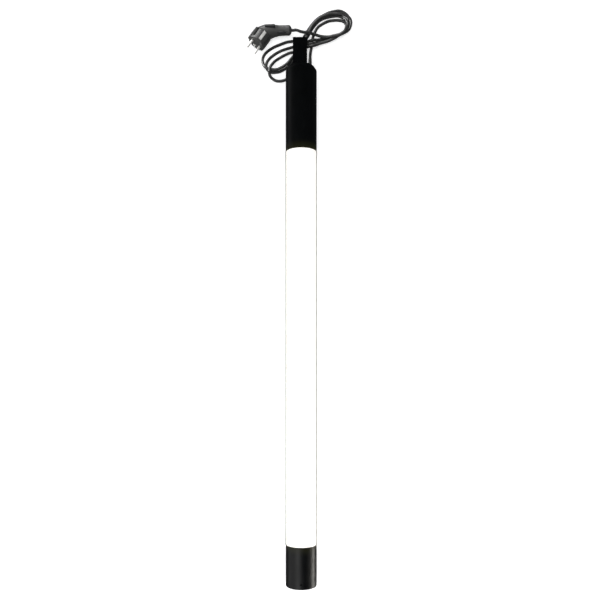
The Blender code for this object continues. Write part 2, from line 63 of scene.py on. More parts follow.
PLUG_TILT, PLUG_TURN, PLUG_ROLL = radians(8), radians(-33.7), radians(22)
PLUG_R, PLUG_DEPTH = 0.0187, 0.0265            # of the round head
PIN_R, PIN_OUT, PIN_PITCH = 0.0024, 0.0190, 0.0190
PIN_BORE = (-0.010, 0.012)                     # start and end of a bore in the plug's face
EARTH_R, EARTH_PLACE = 0.0031, Matrix.Translation((0, 0, -0.0100))
STRIP_HALF, STRIP_Y = 0.0030, (0.0035, 0.0245)
GRIP_SIDES, GRIP_SQUARENESS = 40, 0.78         # 1 gives an oval grip, less a squarer one
BAND_X, BAND_Y, BAND_HALF = (0.0120, 0.0194), (0.0004, 0.0250), 0.0095    # on the head's flanks
GROOVE_X, GROOVE_Y, GROOVE_Z = (0.0122, 0.0160), (0.0045, 0.0232), (0.0078, 0.0200)

CAMERA_PLACE = (-0.0025, -0.1108, 1.4372)      # straight above the lamp, looking down
CAMERA_LENS, CAMERA_SENSOR, CAMERA_SHIFT = 40.8, 36.0, 0.1108
AROUND, SHARP = 128, 32                        # steps round a turned piece, degrees at an edge
DRILL_TWIST, PLUG_TWIST = 0.07, 0.11           # keep a cutter's facets off the piece's own
GLOW_START, FLOOR_R = 1.0, 4.0                 # the floor's glow grows between these distances


# ---------------------------------------------------------------- camera, floor and light
def aim(item, target):
    item.rotation_euler = (Vector(target) - item.location).to_track_quat("-Z", "Y").to_euler()


def add_camera():
    data = bpy.data.cameras.new("camera")
    data.lens, data.sensor_width, data.shift_y = CAMERA_LENS, CAMERA_SENSOR, CAMERA_SHIFT
    camera = bpy.data.objects.new("camera", data)
    bpy.context.collection.objects.link(camera)
    camera.location = CAMERA_PLACE
    bpy.context.scene.camera = camera


def add_light(name, place, target, size, power, colour=(1, 1, 1), glossy=True, only=()):
    """A soft panel. If only= names pieces, it lights nothing else."""
    data = bpy.data.lights.new(name, "AREA")
    data.shape, data.size, data.size_y = "RECTANGLE", *size
    data.energy, data.color = power, colour
    lamp = bpy.data.objects.new(name, data)
    bpy.context.collection.objects.link(lamp)
    lamp.location = place
    aim(lamp, target)
    lamp.visible_glossy = glossy
    lamp.visible_camera = False
    if only:
        lit = bpy.data.collections.new(name + "_lights")
        for piece in only:
            lit.objects.link(piece)
        lamp.light_linking.receiver_collection = lit


def add_studio(hank):
    """Dim pale world, and panels given by place, target, width and height, and watts."""
    world = bpy.data.worlds.new("studio")
    bpy.context.scene.world = world
    world.use_nodes = True
    background = world.node_tree.nodes["Background"]
    background.inputs["Color"].default_value = (0.85, 0.94, 1.0, 1)
    background.inputs["Strength"].default_value = 0.045
    add_light("overhead", (0, 0, 2.6), (0, 0, 0), (4.4, 4.4), 90, glossy=False)
    add_light("side_strip", (0.20, -0.62, 0.015), (0.02, -0.56, 0.055), (0.28, 0.028), 0.44,
              colour=(1, 0.96, 0.90))
    lower_cap = (0, -0.52, AXIS)
    add_light("left_panel", (-0.97, -0.80, 0.55), lower_cap, (1.6, 1.4), 4)
    add_light("upper_left", (-0.42, -0.88, 1.12), lower_cap, (0.8, 0.60), 3)
    add_light("left_strip", (-0.28, -0.60, 0.022), (-0.02, -0.55, 0.055), (0.36, 0.04), 0.06)
    add_light("cap_strip", (-0.28, 0.52, 0.022), (-0.02, 0.42, 0.055), (0.50, 0.04), 0.06)
    add_light("hank_panel", (-0.35, 1.30, 0.55), (-0.05, 0.58, 0.02), (0.7, 0.5), 7, only=hank)
    add_light("hank_side", (-0.84, 0.85, 0.19), (-0.08, 0.57, 0.02), (0.5, 0.3), 13, only=hank)
    bpy.context.scene.view_settings.view_transform = "Standard"


def pale(name, near, far):
    """Pale surface whose glow goes from near to far between GLOW_START and FLOOR_R."""
    made = surface(name, (0.92, 0.92, 0.92), 0.8, shade=0.02, patch=3, depth=0.00002, specular=0.1)
    tree = made.node_tree
    span = node(tree, "ShaderNodeVectorMath", operation="LENGTH")
    tree.links.new(place_in(tree), span.inputs[0])
    reach = between(tree, span.outputs["Value"], 0.0, 1.0, GLOW_START, FLOOR_R)
    glow(made, ramp(tree, reach, 0.0, 1.0, (near,) * 3, (far,) * 3))
    return made


def add_floor():
    """Round floor, and round it a cove that only the camera sees."""
    bm = bmesh.new()
    bmesh.ops.create_circle(bm, cap_ends=True, segments=96, radius=FLOOR_R)
    floor = add_mesh("floor", bm)
    floor.location.z = -GAP
    floor.data.materials.append(pale("pale_floor", 0.56, 0.94))
    cove = turned("cove", [(height, FLOOR_R + out) for height, out in (
        (-0.01, -0.1), (-0.01, 0.0), (0.15, 0.9), (0.6, 1.6), (1.5, 2.1), (7.0, 2.3), (7.0, 2.4),
        (-0.1, 2.4), (-0.1, -0.1))], 96, "Z")
    cove.data.materials.append(pale("pale_cove", 0.96, 0.96))
    cove.visible_diffuse = False
    for item in (floor, cove):
        item.visible_glossy = False


# ---------------------------------------------------------------- materials
def node(tree, kind, **settings):
    made = tree.nodes.new(kind)
    for name, value in settings.items():
        setattr(made, name, value)
    return made


def place_in(tree):
    """Where a point is in its own object."""
    return node(tree, "ShaderNodeTexCoord").outputs["Object"]


def maths(tree, operation, first, second=None):
    """A number worked out from an output, and from a number or another output."""
    made = node(tree, "ShaderNodeMath", operation=operation)
    tree.links.new(first, made.inputs[0])
    if isinstance(second, float):
        made.inputs[1].default_value = second
    elif second is not None:
        tree.links.new(second, made.inputs[1])
    return made.outputs["Value"]


def glow(material, colour, strength=1.0):
    """Give a material light of its own: a plain colour, or the output of a ramp."""
    shader = material.node_tree.nodes["Principled BSDF"]
    if isinstance(colour, tuple):
        shader.inputs["Emission Color"].default_value = colour
    else:
        material.node_tree.links.new(colour, shader.inputs["Emission Color"])
    shader.inputs["Emission Strength"].default_value = strength


def noise(tree, coordinates, scale, detail, stretch=(1, 1, 1)):
    mapping = node(tree, "ShaderNodeMapping")
    mapping.inputs["Scale"].default_value = stretch
    tree.links.new(coordinates, mapping.inputs["Vector"])
    made = node(tree, "ShaderNodeTexNoise")
    made.inputs["Scale"].default_value, made.inputs["Detail"].default_value = scale, detail
    tree.links.new(mapping.outputs["Vector"], made.inputs["Vector"])
    return made.outputs["Fac"]


def ramp(tree, factor, low, high, first, last):
    """Blend from one colour to another while the factor goes from low to high."""
    made = node(tree, "ShaderNodeValToRGB")
    steps = made.color_ramp.elements
    steps[0].position, steps[1].position = low, high
    steps[0].color, steps[1].color = (*first, 1), (*last, 1)
    tree.links.new(factor, made.inputs["Fac"])
    return made.outputs["Color"]


def between(tree, factor, low, high, start=0.3, end=0.7):
    """Blend from one number to another while the factor goes from start to end."""
    made = node(tree, "ShaderNodeMapRange")
    made.inputs["From Min"].default_value, made.inputs["From Max"].default_value = start, end
    made.inputs["To Min"].default_value, made.inputs["To Max"].default_value = low, high
    tree.links.new(factor, made.inputs["Value"])
    return made.outputs["Result"]


def surface(name, colour, roughness, metallic=0.0, specular=0.5, shade=0.18, patch=45, grain=1800,
            depth=0.00003, wear=0.07, stretch=(1, 1, 1)):
    """Principled surface with uneven colour and gloss, and a fine grain of a depth in metres."""
    made = bpy.data.materials.new(name)
    made.use_nodes = True
    tree = made.node_tree
    shader = tree.nodes["Principled BSDF"]
    shader.inputs["Metallic"].default_value = metallic
    shader.inputs["Specular IOR Level"].default_value = specular
    place = place_in(tree)
    broad = noise(tree, place, patch, 4, stretch)
    fine = noise(tree, place, grain, 2, stretch)
    darker = [channel * (1 - shade) for channel in colour]
    lighter = [min(1, channel * (1 + shade)) for channel in colour]
    tree.links.new(ramp(tree, broad, 0.3, 0.7, darker, lighter), shader.inputs["Base Color"])
    gloss = between(tree, broad, roughness - wear, roughness + wear)
    tree.links.new(gloss, shader.inputs["Roughness"])
    bump = node(tree, "ShaderNodeBump")
    bump.inputs["Distance"].default_value = depth
    tree.links.new(fine, bump.inputs["Height"])
    tree.links.new(bump.outputs["Normal"], shader.inputs["Normal"])
    return made


def clear_material():
    """Clear where it is seen square on, and grey where it is seen edge on: painted shade that
    stands in for the dark edge line a clear wall shows.
    """
    made = surface("clear_polycarbonate", (0.30, 0.295, 0.29), 0.12, shade=0.03, patch=12,
                   depth=0.00001, wear=0.04)
    tree = made.node_tree
    edge = node(tree, "ShaderNodeLayerWeight")
    edge.inputs["Blend"].default_value = 0.25
    # painted shade: the grey shows more as the surface turns edge on
    opacity = between(tree, edge.outputs["Facing"], 0.02, 0.95, 0.42, 0.66)
    tree.links.new(opacity, tree.nodes["Principled BSDF"].inputs["Alpha"])
    return made


def opal_material():
    made = surface("lit_opal", (0.82, 0.81, 0.78), 0.45, shade=0.02, patch=30, depth=0.00002)
    glow(made, (1.0, 0.97, 0.90, 1), 0.62)
    return made


def moulding_with_painted_glow():
    """Black moulding whose rims, next to the lit tube, carry a painted warm glow that stands for
    the tube's light falling on them.
    """
    made = surface("black_moulding", (0.0008, 0.0009, 0.0011), 0.44, specular=0.42, shade=0.25,
                   patch=60, grain=2600, depth=0.00004, wear=0.05)
    tree = made.node_tree
    split = node(tree, "ShaderNodeSeparateXYZ")
    tree.links.new(place_in(tree), split.inputs["Vector"])
    low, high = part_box("lower_cap")[1].y, CAP_LOW.y
    middle, edge = (low + high) / 2, (high - low) / 2
    # painted glow: full within 3 mm of the cap's edge at the tube, fading out by 16 mm
    away = maths(tree, "ABSOLUTE", maths(tree, "SUBTRACT", split.outputs["Y"], middle))
    reach = between(tree, away, 0.0, 1.0, edge + 0.003, edge + 0.016)
    glow(made, ramp(tree, reach, 0.0, 1.0, (0.0095, 0.0095, 0.0030), (0, 0, 0)))
    return made


def led_board_material():
    """White board with phosphor yellow chips, which stand further from the lamp's axis."""
    white, yellow, board_top = (0.85, 0.86, 0.84), (0.85, 0.62, 0.12), 0.0107
    made = surface("led_board_white", white, 0.35, shade=0.04)
    tree = made.node_tree
    split = node(tree, "ShaderNodeSeparateXYZ")
    tree.links.new(place_in(tree), split.inputs["Vector"])
    across = maths(tree, "ABSOLUTE", split.outputs["X"])
    up = maths(tree, "ABSOLUTE", maths(tree, "SUBTRACT", split.outputs["Z"], AXIS))
    raised = maths(tree, "GREATER_THAN", maths(tree, "MAXIMUM", across, up), board_top)
    tree.links.new(ramp(tree, raised, 0.0, 1.0, white, yellow),
                   tree.nodes["Principled BSDF"].inputs["Base Color"])
    return made


def make_finishes():
    """One procedural material for each material slot of the record."""
    return {
        "clear_guard": clear_material(),
        "opal_diffuser": opal_material(),
        "moulding": moulding_with_painted_glow(),
        "white_plastic": surface("white_moulding", (0.74, 0.74, 0.71), 0.45, shade=0.05),
        "seal_rubber": surface("silicone", (0.02, 0.02, 0.021), 0.6),
        "alloy": surface("mill_aluminium", (0.68, 0.69, 0.70), 0.34, 1.0, shade=0.10,
                         stretch=(1, 0.04, 1)),
        "led_board": led_board_material(),
        "dark_plastic": surface("dark_moulding", (0.012, 0.012, 0.013), 0.5),
        "steel": surface("zinc_steel", (0.48, 0.49, 0.50), 0.32, 1.0, patch=300, shade=0.15),
        "black_steel": surface("powder_coat", (0.0011, 0.0012, 0.0015), 0.50, specular=0.25,
                               grain=1300, depth=0.00007, shade=0.2),
        "driver_board": surface("green_resist", (0.03, 0.16, 0.06), 0.35, patch=220, shade=0.35),
        "capacitor_sleeve": surface("blue_sleeve", (0.02, 0.05, 0.18), 0.35),
        "copper": surface("enamelled_copper", (0.55, 0.22, 0.08), 0.30, 1.0, stretch=(1, 6, 1)),
        "cord_rubber": surface("bush_rubber", (0.016, 0.016, 0.016), 0.55, grain=2200),
        "cord_sheath": surface("pvc_sheath", (0.024, 0.024, 0.0235), 0.36, specular=0.65, shade=0.2,
                               patch=90, grain=3000, depth=0.00002, wear=0.06),
        "core_brown": surface("brown_core", (0.12, 0.05, 0.02), 0.45),
        "core_blue": surface("blue_core", (0.02, 0.07, 0.32), 0.45),
        "core_green": surface("green_core", (0.08, 0.32, 0.04), 0.45),
        "core_red": surface("red_core", (0.42, 0.02, 0.02), 0.45),
        "plug_rubber": surface("plug_vinyl", (0.040, 0.040, 0.039), 0.42, specular=0.7, shade=0.12,
                               patch=110, grain=2400, depth=0.00005),
        "nickel": surface("nickel_plate", (0.84, 0.83, 0.80), 0.36, 0.4, patch=200, shade=0.12),
    }


# ---------------------------------------------------------------- mesh helpers
def smooth_shade(mesh, sharp=SHARP):
    mesh.shade_smooth()
    mesh.set_sharp_from_angle(angle=radians(sharp))


def add_mesh(name, bm):
    bmesh.ops.recalc_face_normals(bm, faces=bm.faces)
    mesh = bpy.data.meshes.new(name)
    bm.to_mesh(mesh)
    bm.free()
    smooth_shade(mesh)
    item = bpy.data.objects.new(name, mesh)
    bpy.context.collection.objects.link(item)
    return item


def settle_piece(item, finish, *replaced, slot=None):
    """Give a finished piece its material and body, and hide the CAD nodes it stands for; slot= is
    not used.
    """
    item.data.materials.clear()
    item.data.materials.append(FINISHES[finish])
    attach(item, BODY)
    if replaced:
        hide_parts(*replaced)
    return item


def bake(item, sharp=SHARP):
    """Turn the modifiers of a piece into its mesh."""
    bpy.context.view_layer.update()
    evaluated = item.evaluated_get(bpy.context.evaluated_depsgraph_get())
    made = bpy.data.meshes.new_from_object(evaluated)
    old = item.data
    item.modifiers.clear()
    item.data = made
    bpy.data.meshes.remove(old)
    smooth_shade(made, sharp)


def modify(item, kind, **settings):
    modifier = item.modifiers.new(kind.lower(), kind)
    for name, value in settings.items():
        setattr(modifier, name, value)


def combine(item, tools, operation="DIFFERENCE"):
    """Cut tools out of a piece or weld them on, then throw the tools away."""
    for tool in tools:
        modify(item, "BOOLEAN", operation=operation, object=tool, solver="EXACT")
    bake(item)
    for tool in tools:
        bpy.data.objects.remove(tool, do_unlink=True)


def rounded(outline, radii, steps=5):
    """Round the corners of a closed outline; a radius of 0 leaves a corner sharp."""
    made = []
    count = len(outline)
    for index, radius in enumerate(radii):
        corner = Vector(outline[index])
        if radius == 0:
            made.append(tuple(corner))
            continue
        start = corner + (Vector(outline[index - 1]) - corner).normalized() * radius
        end = corner + (Vector(outline[(index + 1) % count]) - corner).normalized() * radius
        for step in range(steps + 1):
            t = step / steps
            made.append(tuple(start.lerp(corner, t).lerp(corner.lerp(end, t), t)))
    return made


def turned(name, profile, steps=AROUND, axis="Y", twist=0.0):
    """Turn a closed (along, radius) outline about an axis through the origin."""
    bm = bmesh.new()
    rings = []
    for along, radius in profile:
        ring = []
        for step in range(steps if radius > 0 else 1):
            angle = 2 * pi * step / steps + twist
            across, up = radius * cos(angle), radius * sin(angle)
            ring.append(bm.verts.new((across, along, up) if axis == "Y" else (across, up, along)))
        rings.append(ring)
    for near, far in zip(rings, rings[1:] + rings[:1]):
        for step in range(steps):
            corners = [near[step % len(near)], near[(step + 1) % len(near)],
                       far[(step + 1) % len(far)], far[step % len(far)]]
            corners = list(dict.fromkeys(corners))
            if len(corners) > 2:
                bm.faces.new(corners)
    return add_mesh(name, bm)


def drill(name, near, far, radius, steps=40, twist=DRILL_TWIST):
    """Cutter for a round hole along Y."""
    return turned(name, [(near, 0), (near, radius), (far, radius), (far, 0)], steps, twist=twist)


def put(item, matrix):
    """Move a piece's mesh to its place."""
    item.data.transform(matrix)
    return item


def from_axis(x=0, y=0):
    """Matrix that takes a piece from the origin to the lamp's axis, and x and y away from it."""
    return Matrix.Translation((x, y, AXIS))


def loft(name, rings):
    """A solid through rings of points, closed by its first and last ring."""
    bm = bmesh.new()
    rings = [[bm.verts.new(spot) for spot in ring] for ring in rings]
    for near, far in zip(rings, rings[1:]):
        for k in range(len(near)):
            after = (k + 1) % len(near)
            bm.faces.new((near[k], near[after], far[after], far[k]))
    bm.faces.new(reversed(rings[0]))
    bm.faces.new(rings[-1])
    return add_mesh(name, bm)


def block(name, low, high):
    """Box between its lowest and highest corners."""
    low, high = Vector(low), Vector(high)
    bm = bmesh.new()
    bmesh.ops.create_cube(bm, size=1.0)
    bmesh.ops.transform(bm, matrix=Matrix.Diagonal((*(high - low), 1)), verts=bm.verts)
    bmesh.ops.translate(bm, vec=(low + high) / 2, verts=bm.verts)
    return add_mesh(name, bm)


def smooth_path(points, spacing, parts=12):
    """Evenly spaced points on the centripetal Catmull-Rom curve through a route."""
    route = [Vector(point) for point in points]
    route = [2 * route[0] - route[1]] + route + [2 * route[-1] - route[-2]]
    fine = []
    for p0, p1, p2, p3 in zip(route, route[1:], route[2:], route[3:]):
        t1 = (p1 - p0).length ** 0.5
        t2 = t1 + (p2 - p1).length ** 0.5
        t3 = t2 + (p3 - p2).length ** 0.5
        for part in range(parts):
            t = t1 + (t2 - t1) * part / parts
            a1, a2, a3 = (p0.lerp(p1, t / t1), p1.lerp(p2, (t - t1) / (t2 - t1)),
                          p2.lerp(p3, (t - t2) / (t3 - t2)))
            b1, b2 = a1.lerp(a2, t / t2), a2.lerp(a3, (t - t1) / (t3 - t1))
            fine.append(b1.lerp(b2, (t - t1) / (t2 - t1)))
    return even(np.array([*fine, route[-2]]), spacing)


def even(line, spacing):
    """The same line with evenly spaced points."""
    length = np.concatenate(([0], np.cumsum(np.linalg.norm(np.diff(line, axis=0), axis=1))))
    stops = np.linspace(0, length[-1], round(length[-1] / spacing) + 1)
    return np.stack([np.interp(stops, length, line[:, k]) for k in range(3)], axis=1)


def sweep(name, path, radii, sides):
    """A round solid along a path, with its own radius at each point."""
    rings = []
    up = Vector((0, 0, 1))
    for index, (spot, radius) in enumerate(zip(path, radii)):
        before, after = path[max(index - 1, 0)], path[min(index + 1, len(path) - 1)]
        way = Vector(after - before).normalized()
        aside = way.cross(up).normalized()
        over = aside.cross(way)
        rings.append([Vector(spot) + radius * (aside * cos(a) + over * sin(a))
                      for a in (2 * pi * k / sides for k in range(sides))])
    return loft(name, rings)


# ---------------------------------------------------------------- mains lead
# The lead's route in millimetres: out of the cap, right and left lobes by turns, then to the plug.
LEAD = [(18, 509, 33), (18, 515, 33), (18.2, 522, 30.8), (18.6, 531, 24), (19.2, 542, 14),
        (20, 552, 8), (21, 560, 6), (23, 574, 3), (25, 584, 3)]
LOBES = [
    [(30, 596, 3), (35, 604, 3), (46, 612, 3), (57, 617, 3), (69, 619, 3), (81, 619, 3),
     (90, 617, 3), (96, 612, 3), (97, 604, 3), (94, 597, 3), (87, 593, 3), (80, 589, 3),
     (71, 586, 3), (61, 584, 3), (48, 580, 3), (36, 577, 4), (26, 575, 7), (17, 574, 8),
     (8, 575, 5), (-4, 576, 3)],
    [(-16, 575, 3), (-30, 573, 3), (-44, 568, 3), (-58, 562, 3), (-69, 555, 3), (-77, 547, 3),
     (-81, 539, 3), (-81, 530, 4), (-77, 521, 7), (-71, 515, 9), (-62, 513, 9), (-52, 513, 9),
     (-41, 517.5, 9), (-30.5, 525, 8), (-22, 533.5, 8), (-14, 543, 9), (-7, 556, 9), (0, 570, 9),
     (7, 583, 8)],
    [(15, 598, 3), (24, 610, 3), (35, 622, 3), (46, 629, 3), (58, 635, 3), (70, 638, 3),
     (80, 639, 3), (89, 636, 3), (96, 631, 3), (101, 623, 3), (102, 615, 3), (100, 607, 4),
     (96, 599, 7), (90, 592, 8), (82, 587, 8), (72, 582, 8), (62, 579, 5), (50, 576, 3),
     (38, 572, 4), (27, 568, 7), (18, 567, 8), (10, 567, 5), (-2, 566, 3)],
    [(-16, 563, 3), (-30, 559, 3), (-44, 554, 3), (-56, 547, 3), (-66, 539, 3), (-72, 531, 3),
     (-74, 523, 3), (-72, 516, 3), (-66, 510, 3), (-57, 509.3, 3), (-47, 510.2, 3), (-37, 515, 3),
     (-29, 520, 3), (-21, 528, 5), (-13, 536, 9), (-5, 546, 14), (2, 560, 15), (9, 574, 14),
     (15, 589, 11)],
    [(22, 602, 8), (32, 614, 8), (44, 623, 8), (57, 629, 8), (69, 631, 8), (81, 630, 9),
     (91, 628, 9), (99, 623, 9), (104, 617, 8), (104, 609, 9), (101, 600, 11), (94, 591, 14),
     (86, 586, 14), (77, 582, 13), (67, 577, 11), (55, 572, 9), (42, 569, 8), (30, 565, 9),
     (21, 562, 9), (10, 561, 5), (-2, 558, 3)],
    [(-16, 552, 3), (-25, 550, 3), (-36, 545, 3), (-48, 538, 3), (-56, 530, 8), (-62, 521, 12),
     (-66, 512, 15), (-67, 506, 13), (-66, 500, 9), (-61, 496, 5), (-54, 492, 3), (-44, 491, 3),
     (-35, 493, 3), (-27, 498, 3), (-21, 506, 3), (-18, 515, 3), (-16, 525, 3), (-12, 534, 5),
     (-5, 544, 9), (3, 557, 9), (9, 570, 9), (14, 584, 6)],
    [(20, 597, 4), (26, 606, 5), (34, 615, 5), (45, 622, 4), (58, 626, 3), (70, 628, 3),
     (79, 628, 3), (87, 624, 4), (94, 617, 7), (98, 609, 9), (97, 599, 13), (92, 590, 18),
     (85, 584, 20), (77, 581, 18), (67, 580, 14), (55, 581, 10), (45, 582, 9), (36, 584, 9)],
]
TAIL = [(28, 586, 10), (18, 586, 14), (7, 587, 16), (-3, 589, 18), (-11, 591.2, 18.5),
        (-18.8, 590.2, 18.5), (-25, 590.2, 18.5)]
STEP = 0.0035                                  # spacing of the points, in metres
HELD = 12                                      # points at the cap that keep their height


def blurred(moves, times):
    """Spread each point's move over its neighbours, so that the lead bends and doesn't kink."""
    for _ in range(times):
        moves[1:-1] = (moves[:-2] + 2 * moves[1:-1] + moves[2:]) / 4
    return moves


def push_apart(line):
    """Move a laid cord until it clears itself, the hanger above it and the floor."""
    rounds, homing, haste = 300, 0.02, 1.5
    radius, apart, tightest, spans = CORD_D / 2, CORD_D + 0.0001, 0.016, (1, 2, 3, 4, 6)
    order = np.arange(len(line))
    neighbours = np.abs(order[:, None] - order[None]) <= spans[-1]
    grip = np.clip((np.minimum(order, order[::-1]) - 1) / HELD, 0, 1)[:, None]
    low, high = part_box("hanger")
    home = line.copy()
    for _ in range(rounds):
        gaps = line[:, None] - line[None]
        distances = np.linalg.norm(gaps, axis=2) + 1e-9
        close = (distances < apart) & ~neighbours
        push = np.where(close, (apart - distances) / 2 / distances, 0)
        moves = (gaps * push[:, :, None]).sum(1) / np.maximum(1, close.sum(1))[:, None]
        moves = haste * blurred(moves, 4) + homing * (home - line)
        for reach in spans:
            sag = (line[:-2 * reach] + line[2 * reach:]) / 2 - line[reach:-reach]
            size = np.linalg.norm(sag, axis=1) + 1e-12
            spare = np.maximum(0, size - (reach * STEP) ** 2 / (2 * tightest))
            ease = sag * (spare / size)[:, None]
            moves[reach:-reach] += ease / 4
            moves[:-2 * reach] -= ease / 8
            moves[2 * reach:] -= ease / 8
        line = line + moves * grip
        under = ((line[:, 0] > low.x - radius) & (line[:, 0] < high.x + radius)
                 & (line[:, 1] > low.y - radius) & (line[:, 1] < high.y + radius) & (order > HELD))
        line[under, 2] = np.minimum(line[under, 2], low.z - radius - GAP)
        line[HELD:, 2] = np.maximum(line[HELD:, 2], radius)
    return line


def lead_line():
    """The lead's middle line, from the cap to the plug, in metres."""
    route = [[value / 1000 for value in spot] for spot in LEAD + sum(LOBES, []) + TAIL]
    return push_apart(smooth_path(route, STEP))


def add_lead(line, companions):
    """The lead as a curve; returns it with the pieces on it."""
    fine = smooth_path(line, STEP / 2)
    data = bpy.data.curves.new("mains_lead", "CURVE")
    data.dimensions = "3D"
    data.bevel_depth, data.bevel_resolution, data.use_fill_caps = CORD_D / 2, 6, True
    data.render_resolution_u = 0
    spline = data.splines.new("POLY")
    spline.points.add(len(fine) - 1)
    for spot, point in zip(fine, spline.points):
        point.co = (*spot, 1)
    lead = bpy.data.objects.new("mains_lead", data)
    bpy.context.collection.objects.link(lead)
    settle_piece(lead, "cord_sheath", "cord_lead", "cord_low_loop", "cord_tail",
                 "hank_left", "hank_right")
    return [lead, *companions]


# ---------------------------------------------------------------- plug
def plug_frame():
    """Frame of the plug's face: -Y along the pins, Z towards the upper earth strip."""
    return (Matrix.Translation(PLUG_BACK) @ Matrix.Rotation(PLUG_TURN, 4, "Z")
            @ Matrix.Rotation(-PLUG_TILT, 4, "X") @ Matrix.Translation((0, -PLUG_DEPTH, 0))
            @ Matrix.Rotation(PLUG_ROLL, 4, "Y"))


def pin_place(side):
    return Matrix.Translation((side * PIN_PITCH / 2, 0, 0))


def elbow():
    """Grip that bends from the back of the head to the lead, lofted through its stations.

    A station is its middle (x, y), its heading in the plane, and half its width and height.
    """
    stations = [(-0.0850, 0.5752, 56, 0.0168, 0.0158), (-0.0800, 0.5826, 46, 0.0162, 0.0152),
                (-0.0700, 0.5870, 22, 0.0143, 0.0140), (-0.0580, 0.5886, 4, 0.0118, 0.0120),
                (-0.0460, 0.5894, 1, 0.0098, 0.0098), (-0.0330, 0.5899, 1, 0.0095, 0.0092),
                (-0.0250, 0.5902, 1, 0.0098, 0.0092), (-0.0226, 0.5903, 1, 0.0082, 0.0078),
                (-0.0199, 0.5902, 0, 0.0044, 0.0044)]
    fine = []
    for near, far in zip(stations, stations[1:]):
        fine += [[a + (b - a) * k / 4 for a, b in zip(near, far)] for k in range(4)]
    fine.append(stations[-1])
    rings = []
    for x, y, heading, wide, high in fine:
        middle = Vector((x, y, PLUG_BACK.z))
        aside = Vector((-sin(radians(heading)), cos(radians(heading)), 0))
        ring = []
        for angle in (2 * pi * k / GRIP_SIDES for k in range(GRIP_SIDES)):
            across, up = (np.sign(v) * abs(v) ** GRIP_SQUARENESS for v in (cos(angle), sin(angle)))
            ring.append(middle + aside * wide * across + Vector((0, 0, high * up)))
        rings.append(ring)
    return loft("elbow", rings)


def span_at(side, span):
    """A span of widths, on the +X or -X side, from its lower to its higher end."""
    return sorted((side * span[0], side * span[1]))


def soft_block(name, low, high, bevel, segments=4):
    """Box with rounded edges."""
    item = block(name, low, high)
    modify(item, "BEVEL", width=bevel, segments=segments)
    bake(item)
    return item


def plug_additions():
    """The elbow's grip, and the guide bands on the head's flanks."""
    bands = []
    for side in (-1, 1):
        near, far = span_at(side, BAND_X)
        band = soft_block("band", (near, BAND_Y[0], -BAND_HALF), (far, BAND_Y[1], BAND_HALF),
                          0.0013)
        bands.append(put(band, plug_frame()))
    return [elbow(), *bands]


def plug_cutters():
    """Bores for the pins and the earth pin, slots for the strips, flank grooves, a thumb recess."""
    frame_at = plug_frame()
    tools = []
    for side in (-1, 1):
        bore = drill("pin_bore", *PIN_BORE, PIN_R + 0.0002, 32, PLUG_TWIST)
        tools.append(put(bore, frame_at @ pin_place(side)))
        low, high = span_at(side, (PLUG_R - 0.0030, PLUG_R + 0.0030))
        slot = block("clip_slot", (-STRIP_HALF - GAP, STRIP_Y[0] - GAP, low),
                     (STRIP_HALF + GAP, STRIP_Y[1] + GAP, high))
        tools.append(put(slot, frame_at))
        near, far = span_at(side, GROOVE_X)
        for low, high in (span_at(half, GROOVE_Z) for half in (1, -1)):
            cut = block("flank_groove", (near, GROOVE_Y[0], low), (far, GROOVE_Y[1], high))
            tools.append(put(cut, frame_at))
    earth = drill("earth_bore", *PIN_BORE, EARTH_R + 0.0001, 32, PLUG_TWIST)
    tools.append(put(earth, frame_at @ EARTH_PLACE))
    face = turned("face_groove", [(-0.0005, 0.0166), (-0.0005, 0.0174), (0.0006, 0.0174),
                                  (0.0006, 0.0166)], 96)
    tools.append(put(face, frame_at))
    tools.append(thumb_shape("thumb_recess", 0.0100, 0.0032))
    return tools


def thumb_shape(name, half, radius):
    """Spindle along the grip, on its inner side below the top."""
    outline = [(half * cos(a), max(0.0, radius * sin(a))) for a in (pi * k / 14 for k in range(15))]
    place = Matrix.Translation((-0.0408, 0.5822, PLUG_BACK.z + 0.0068))
    return put(turned(name, outline, 32), place @ Matrix.Rotation(radians(92), 4, "Z"))


def add_pads():
    """Darker pieces laid on the grip where it shows dark: a raised pad on its shoulder, and one in
    the thumb recess.
    """
    size = Vector((0.0110, 0.0040, 0.0035))
    pad = soft_block("elbow_pad", -size, size, 0.0014)
    put(pad, Matrix.Translation((-0.0650, 0.5930, 0.0296)) @ Matrix.Rotation(radians(-38), 4, "X")
        @ Matrix.Rotation(radians(5), 4, "Z"))
    pads = (pad, thumb_shape("thumb_pad", 0.0094, 0.0024))
    return [settle_piece(item, "dark_plastic") for item in pads]


def add_plug_contacts():
    """The two pins, the earth strips beside them and the earth pin's sleeve."""
    frame_at = plug_frame()
    contacts = []
    for number, side in enumerate((-1, 1), 1):
        outline = rounded([(-PIN_OUT, 0), (-PIN_OUT, PIN_R), (0.0115, PIN_R), (0.0115, 0)],
                          (0, 0.0018, 0.0003, 0), 6)
        pin = put(turned(f"pin_{number}", outline, 40), frame_at @ pin_place(side))
        low, high = span_at(side, (PLUG_R - 0.0028, PLUG_R - 0.0006))
        strip = soft_block(f"earth_strip_{number}", (-STRIP_HALF, STRIP_Y[0], low),
                           (STRIP_HALF, STRIP_Y[1], high), 0.0005, 3)
        put(strip, frame_at)
        contacts += [settle_piece(pin, "nickel", f"plug_pin_{number}"),
                     settle_piece(strip, "nickel", f"earth_clip_{number}")]
    inside = EARTH_R - 0.0008
    outline = rounded([(0.0000, EARTH_R), (0.0110, EARTH_R), (0.0110, inside), (0.0000, inside)],
                      (0.0003, 0, 0, 0.0003), 3)
    sleeve = put(turned("earth_socket", outline, 40), frame_at @ EARTH_PLACE)
    return [*contacts, settle_piece(sleeve, "nickel")]


